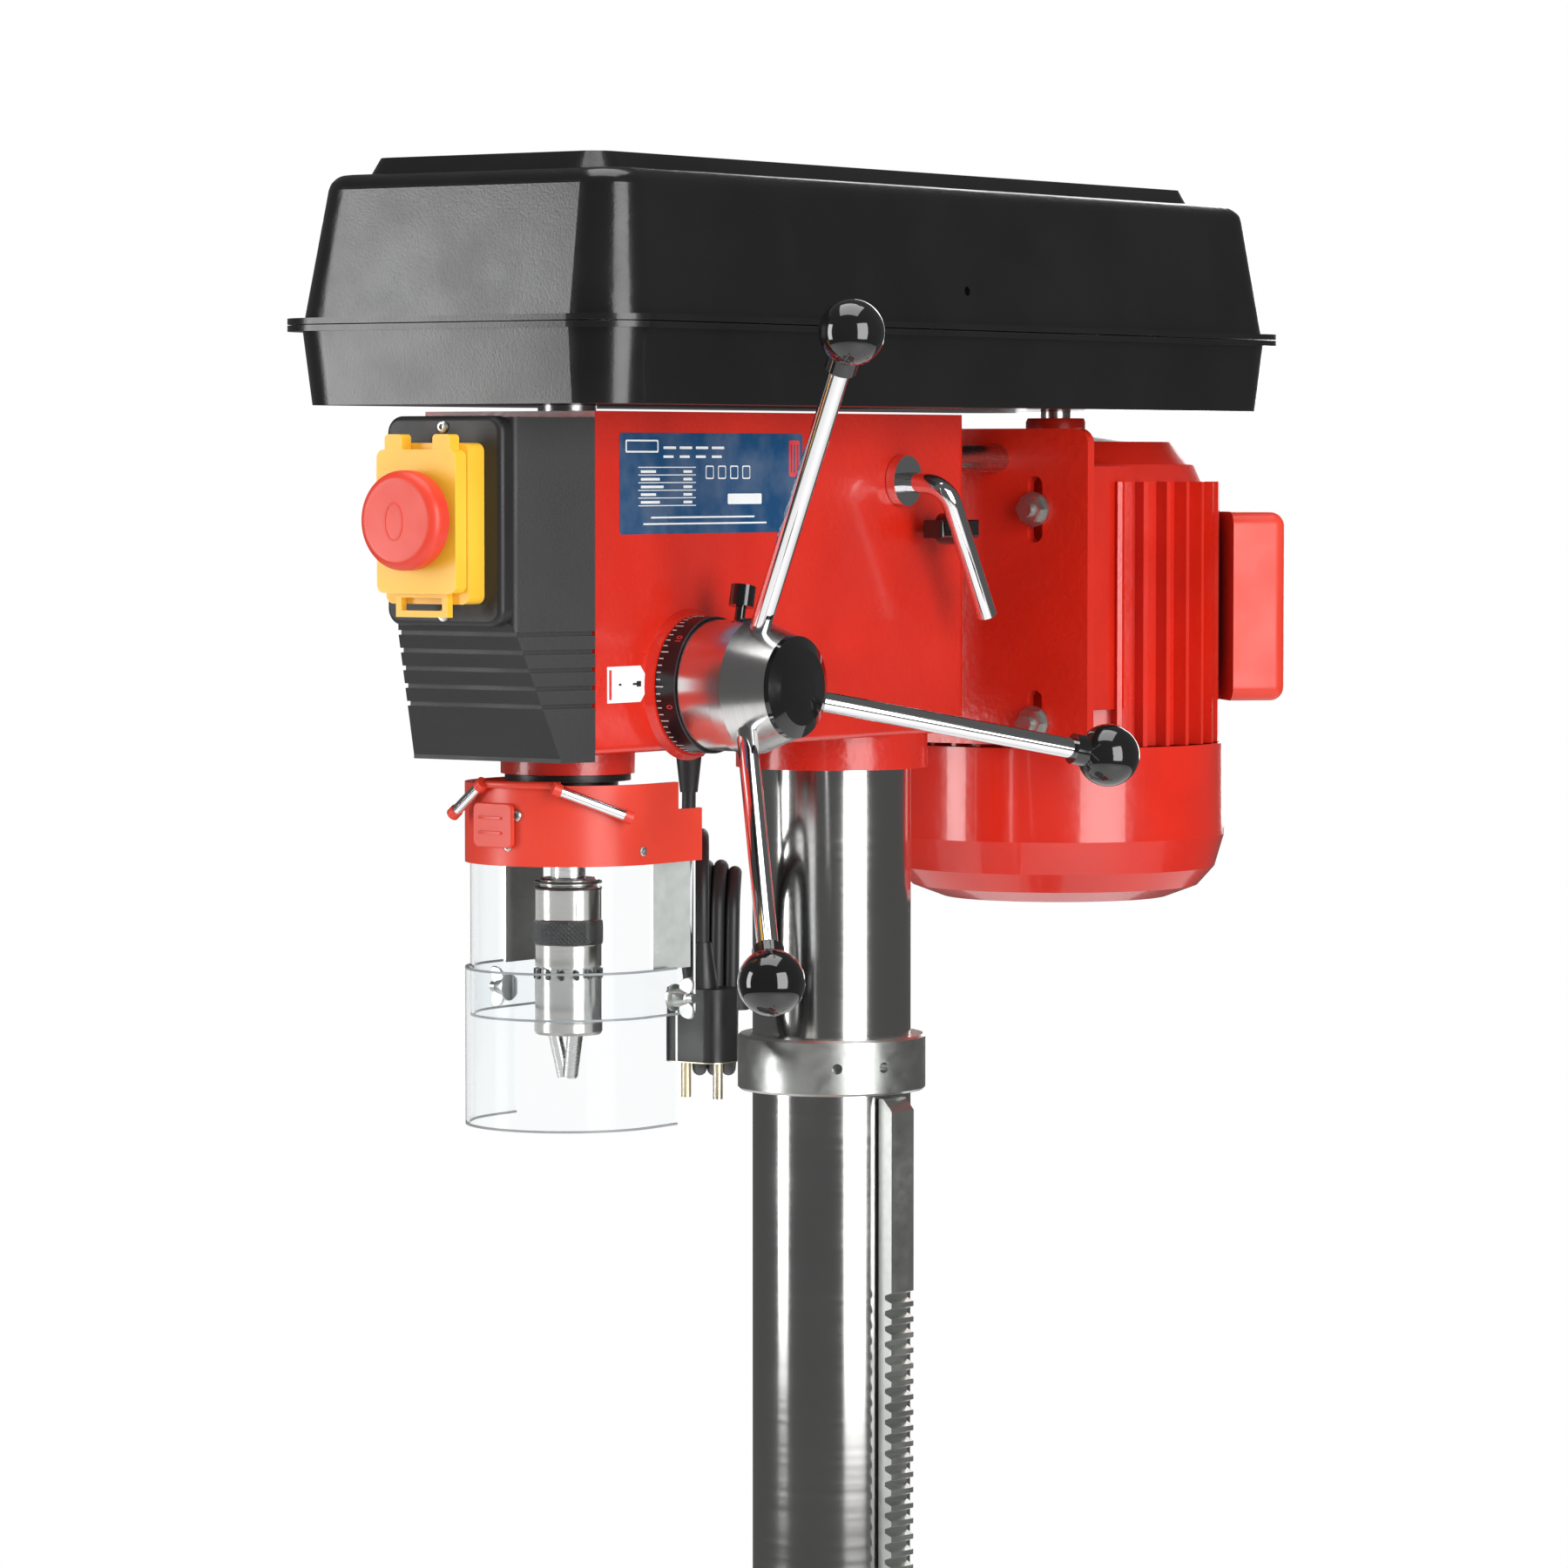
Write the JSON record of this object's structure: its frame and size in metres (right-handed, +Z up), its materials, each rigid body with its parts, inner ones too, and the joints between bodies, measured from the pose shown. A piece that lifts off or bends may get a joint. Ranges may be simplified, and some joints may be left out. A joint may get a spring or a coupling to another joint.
{
  "type": "drill press",
  "caption": "Floor-standing pillar drill with a belt-driven head, hand feed with ball handles, keyed chuck behind a clear guard, and a tilting table on a rack.",
  "frame": {"origin": "on the floor at the column's axis", "axes": "+Z up the column, -Y towards the operator, +X towards the feed handles"},
  "size_m": [0.3473, 0.6837, 1.61],
  "materials": {
    "belt_rubber": "rubber belt",
    "black_knob": "gloss black phenolic",
    "black_plastic": "gloss black moulded case",
    "cast_iron": "machined cast iron",
    "chrome": "chrome plate",
    "chuck_steel": "ground steel with a knurled band",
    "clear_guard": "clear polycarbonate",
    "column_steel": "ground and polished steel",
    "cord_rubber": "black rubber lead",
    "dial_black": "black dial with marks",
    "green_plastic": "green moulding",
    "housing_plastic": "satin black moulding",
    "housing_steel": "black painted steel",
    "machined_steel": "machined steel",
    "motor_paint": "gloss red enamel on finned aluminium",
    "pulley_alloy": "turned alloy",
    "red_paint_iron": "gloss red enamel on cast iron",
    "red_paint_sheet": "gloss red enamel on pressed steel",
    "red_plastic": "red moulding",
    "yellow_plastic": "yellow moulding",
    "zinc_steel": "zinc plated steel"
  },
  "bodies": {
    "frame": {"base": "red_paint_iron", "column_flange": "red_paint_iron", "flange_bolts": "zinc_steel", "column": "column_steel", "rack_collar": "zinc_steel", "head_casting": "red_paint_iron", "front_housing": "housing_plastic", "switch_body": "yellow_plastic", "belt_pan": "black_plastic", "belts": "belt_rubber", "idler_post": "machined_steel", "spring_cap": "housing_plastic", "return_spring": "machined_steel", "cord_gland": "cord_rubber", "mains_cord": "cord_rubber", "cord_hank": "cord_rubber", "mains_plug": "cord_rubber"},
    "lid": {"belt_lid": "black_plastic"},
    "spindle_drive": {"spindle_pulley": "pulley_alloy"},
    "idler": {"idler_pulley": "pulley_alloy"},
    "quill": {"quill": "machined_steel", "guard_clamp": "housing_steel", "quill_bearings": "machined_steel"},
    "spindle": {"spindle": "machined_steel", "chuck_body": "chuck_steel"},
    "chuck_sleeve": {"chuck_sleeve": "chuck_steel"},
    "jaw_1": {"chuck_jaw_1": "machined_steel"},
    "jaw_2": {"chuck_jaw_2": "machined_steel"},
    "jaw_3": {"chuck_jaw_3": "machined_steel"},
    "guard": {"guard_hood": "red_plastic", "guard_shield_upper": "clear_guard", "guard_struts": "zinc_steel"},
    "lower_guard": {"guard_shield_lower": "clear_guard"},
    "feed": {"pinion_shaft": "machined_steel", "feed_hub": "chrome", "feed_arms": "chrome", "arm_knobs": "black_knob", "hub_cap": "black_knob", "dial_lock_screw": "black_knob"},
    "dial": {"depth_dial": "dial_black"},
    "tension_lever": {"tension_lever": "chrome"},
    "slide_lock": {"slide_lock_knob": "black_knob"},
    "motor": {"motor_plate": "red_paint_iron", "slide_bars": "machined_steel", "motor_bolts": "zinc_steel", "motor_body": "motor_paint", "fan_cover": "red_paint_sheet", "terminal_box": "red_plastic"},
    "rotor": {"motor_shaft": "machined_steel", "motor_pulley": "pulley_alloy"},
    "start_button": {"start_button": "green_plastic"},
    "stop_button": {"stop_button": "red_plastic"},
    "flap": {"switch_flap": "yellow_plastic"},
    "mushroom": {"stop_mushroom": "red_plastic"},
    "rack": {"rack": "zinc_steel"},
    "bracket": {"table_bracket": "red_paint_iron"},
    "crank": {"table_crank": "machined_steel"},
    "column_clamp": {"column_clamp_handle": "machined_steel"},
    "table_arm": {"table_arm": "red_paint_iron"},
    "table": {"table": "cast_iron"}
  },
  "joints": [
    {"name": "lid_hinge", "type": "hinge", "parent": "frame", "child": "lid", "pos_m": [-0.1045, 0, 1.5315], "axis": [0, -1, 0], "range_deg": [0, 95]},
    {"name": "spindle_pulley_spin", "type": "hinge", "parent": "frame", "child": "spindle_drive", "pos_m": [0, -0.221, 1.4], "axis": [0, 0, 1], "continuous": true},
    {"name": "idler_spin", "type": "hinge", "parent": "frame", "child": "idler", "pos_m": [0, -0.01, 1.54], "axis": [0, 0, 1], "continuous": true},
    {"name": "quill_feed", "type": "slide", "parent": "frame", "child": "quill", "axis": [0, 0, -1], "range_m": [0, 0.06], "stiffness_N_per_m": 400, "springref_m": -0.1},
    {"name": "spindle_spin", "type": "hinge", "parent": "quill", "child": "spindle", "pos_m": [0, -0.221, 1.4], "axis": [0, 0, 1], "continuous": true},
    {"name": "chuck_sleeve_turn", "type": "hinge", "parent": "spindle", "child": "chuck_sleeve", "pos_m": [0, -0.221, 1.21], "axis": [0, 0, 1], "range_deg": [0, 2520]},
    {"name": "jaw_1_slide", "type": "slide", "parent": "spindle", "child": "jaw_1", "axis": [0, 0.2079, 0.9781], "range_m": [0, 0.01401]},
    {"name": "jaw_2_slide", "type": "slide", "parent": "spindle", "child": "jaw_2", "axis": [-0.1801, -0.104, 0.9781], "range_m": [0, 0.01401]},
    {"name": "jaw_3_slide", "type": "slide", "parent": "spindle", "child": "jaw_3", "axis": [0.1801, -0.104, 0.9781], "range_m": [0, 0.01401]},
    {"name": "guard_swing", "type": "hinge", "parent": "quill", "child": "guard", "pos_m": [0, -0.221, 1.3], "axis": [0, 0, 1], "range_deg": [-120, 0]},
    {"name": "lower_guard_slide", "type": "slide", "parent": "guard", "child": "lower_guard", "axis": [0, 0, 1], "range_m": [0, 0.045]},
    {"name": "feed_turn", "type": "hinge", "parent": "frame", "child": "feed", "pos_m": [0, -0.192, 1.362], "axis": [1, 0, 0], "range_deg": [0, 327.6]},
    {"name": "depth_dial_turn", "type": "hinge", "parent": "feed", "child": "dial", "pos_m": [0.06, -0.192, 1.362], "axis": [1, 0, 0], "range_deg": [-180, 180]},
    {"name": "tension_lever_turn", "type": "hinge", "parent": "frame", "child": "tension_lever", "pos_m": [0.05, -0.0135, 1.458], "axis": [1, 0, 0], "range_deg": [0, 60.2]},
    {"name": "slide_lock_turn", "type": "hinge", "parent": "frame", "child": "slide_lock", "pos_m": [0.06, 0.012, 1.434], "axis": [1, 0, 0], "range_deg": [-180, 180]},
    {"name": "motor_slide", "type": "slide", "parent": "frame", "child": "motor", "axis": [0, -1, 0], "range_m": [0, 0.012], "deforming": ["belts"]},
    {"name": "rotor_spin", "type": "hinge", "parent": "motor", "child": "rotor", "pos_m": [0, 0.21, 1.4], "axis": [0, 0, 1], "continuous": true},
    {"name": "start_press", "type": "slide", "parent": "frame", "child": "start_button", "axis": [0, 1, 0], "range_m": [0, 0.003], "stiffness_N_per_m": 300, "springref_m": -0.003},
    {"name": "stop_press", "type": "slide", "parent": "frame", "child": "stop_button", "axis": [0, 1, 0], "range_m": [0, 0.003], "stiffness_N_per_m": 300, "springref_m": -0.003},
    {"name": "flap_hinge", "type": "hinge", "parent": "frame", "child": "flap", "pos_m": [0, -0.3284, 1.4815], "axis": [-1, 0, 0], "range_deg": [0, 110]},
    {"name": "mushroom_press", "type": "slide", "parent": "flap", "child": "mushroom", "axis": [0, 1, 0], "range_m": [0, 0.0038], "stiffness_N_per_m": 300, "springref_m": -0.004},
    {"name": "table_swing", "type": "hinge", "parent": "frame", "child": "rack", "pos_m": [0, 0, 0.6], "axis": [0, 0, 1], "range_deg": [-90, 90]},
    {"name": "table_height", "type": "slide", "parent": "rack", "child": "bracket", "axis": [0, 0, 1], "range_m": [-0.35, 0.25]},
    {"name": "crank_turn", "type": "hinge", "parent": "bracket", "child": "crank", "pos_m": [0.06209, -0.01095, 0.735], "axis": [-0.1736, -0.9848, 0], "range_deg": [-1338, 956]},
    {"name": "column_clamp_turn", "type": "hinge", "parent": "bracket", "child": "column_clamp", "pos_m": [-0.07, 0.07, 0.735], "axis": [1, 0, 0], "range_deg": [-45, 45]},
    {"name": "table_tilt", "type": "hinge", "parent": "bracket", "child": "table_arm", "pos_m": [0, -0.078, 0.726], "axis": [0, 1, 0], "range_deg": [-45, 45]},
    {"name": "table_turn", "type": "hinge", "parent": "table_arm", "child": "table", "pos_m": [0, -0.221, 0.76], "axis": [0, 0, 1], "continuous": true}
  ],
  "couplings": [
    {"joint": "feed_turn", "follows": "quill_feed", "rad_per_m": 95.238},
    {"joint": "spindle_pulley_spin", "follows": "spindle_spin", "ratio": 1},
    {"joint": "idler_spin", "follows": "spindle_spin", "ratio": 1.2083},
    {"joint": "rotor_spin", "follows": "spindle_spin", "ratio": 1.4407},
    {"joint": "jaw_1_slide", "follows": "chuck_sleeve_turn", "m_per_rad": 0.00031831},
    {"joint": "jaw_2_slide", "follows": "chuck_sleeve_turn", "m_per_rad": 0.00031831},
    {"joint": "jaw_3_slide", "follows": "chuck_sleeve_turn", "m_per_rad": 0.00031831},
    {"joint": "tension_lever_turn", "follows": "motor_slide", "rad_per_m": 87.266},
    {"joint": "crank_turn", "follows": "table_height", "rad_per_m": 66.667}
  ]
}
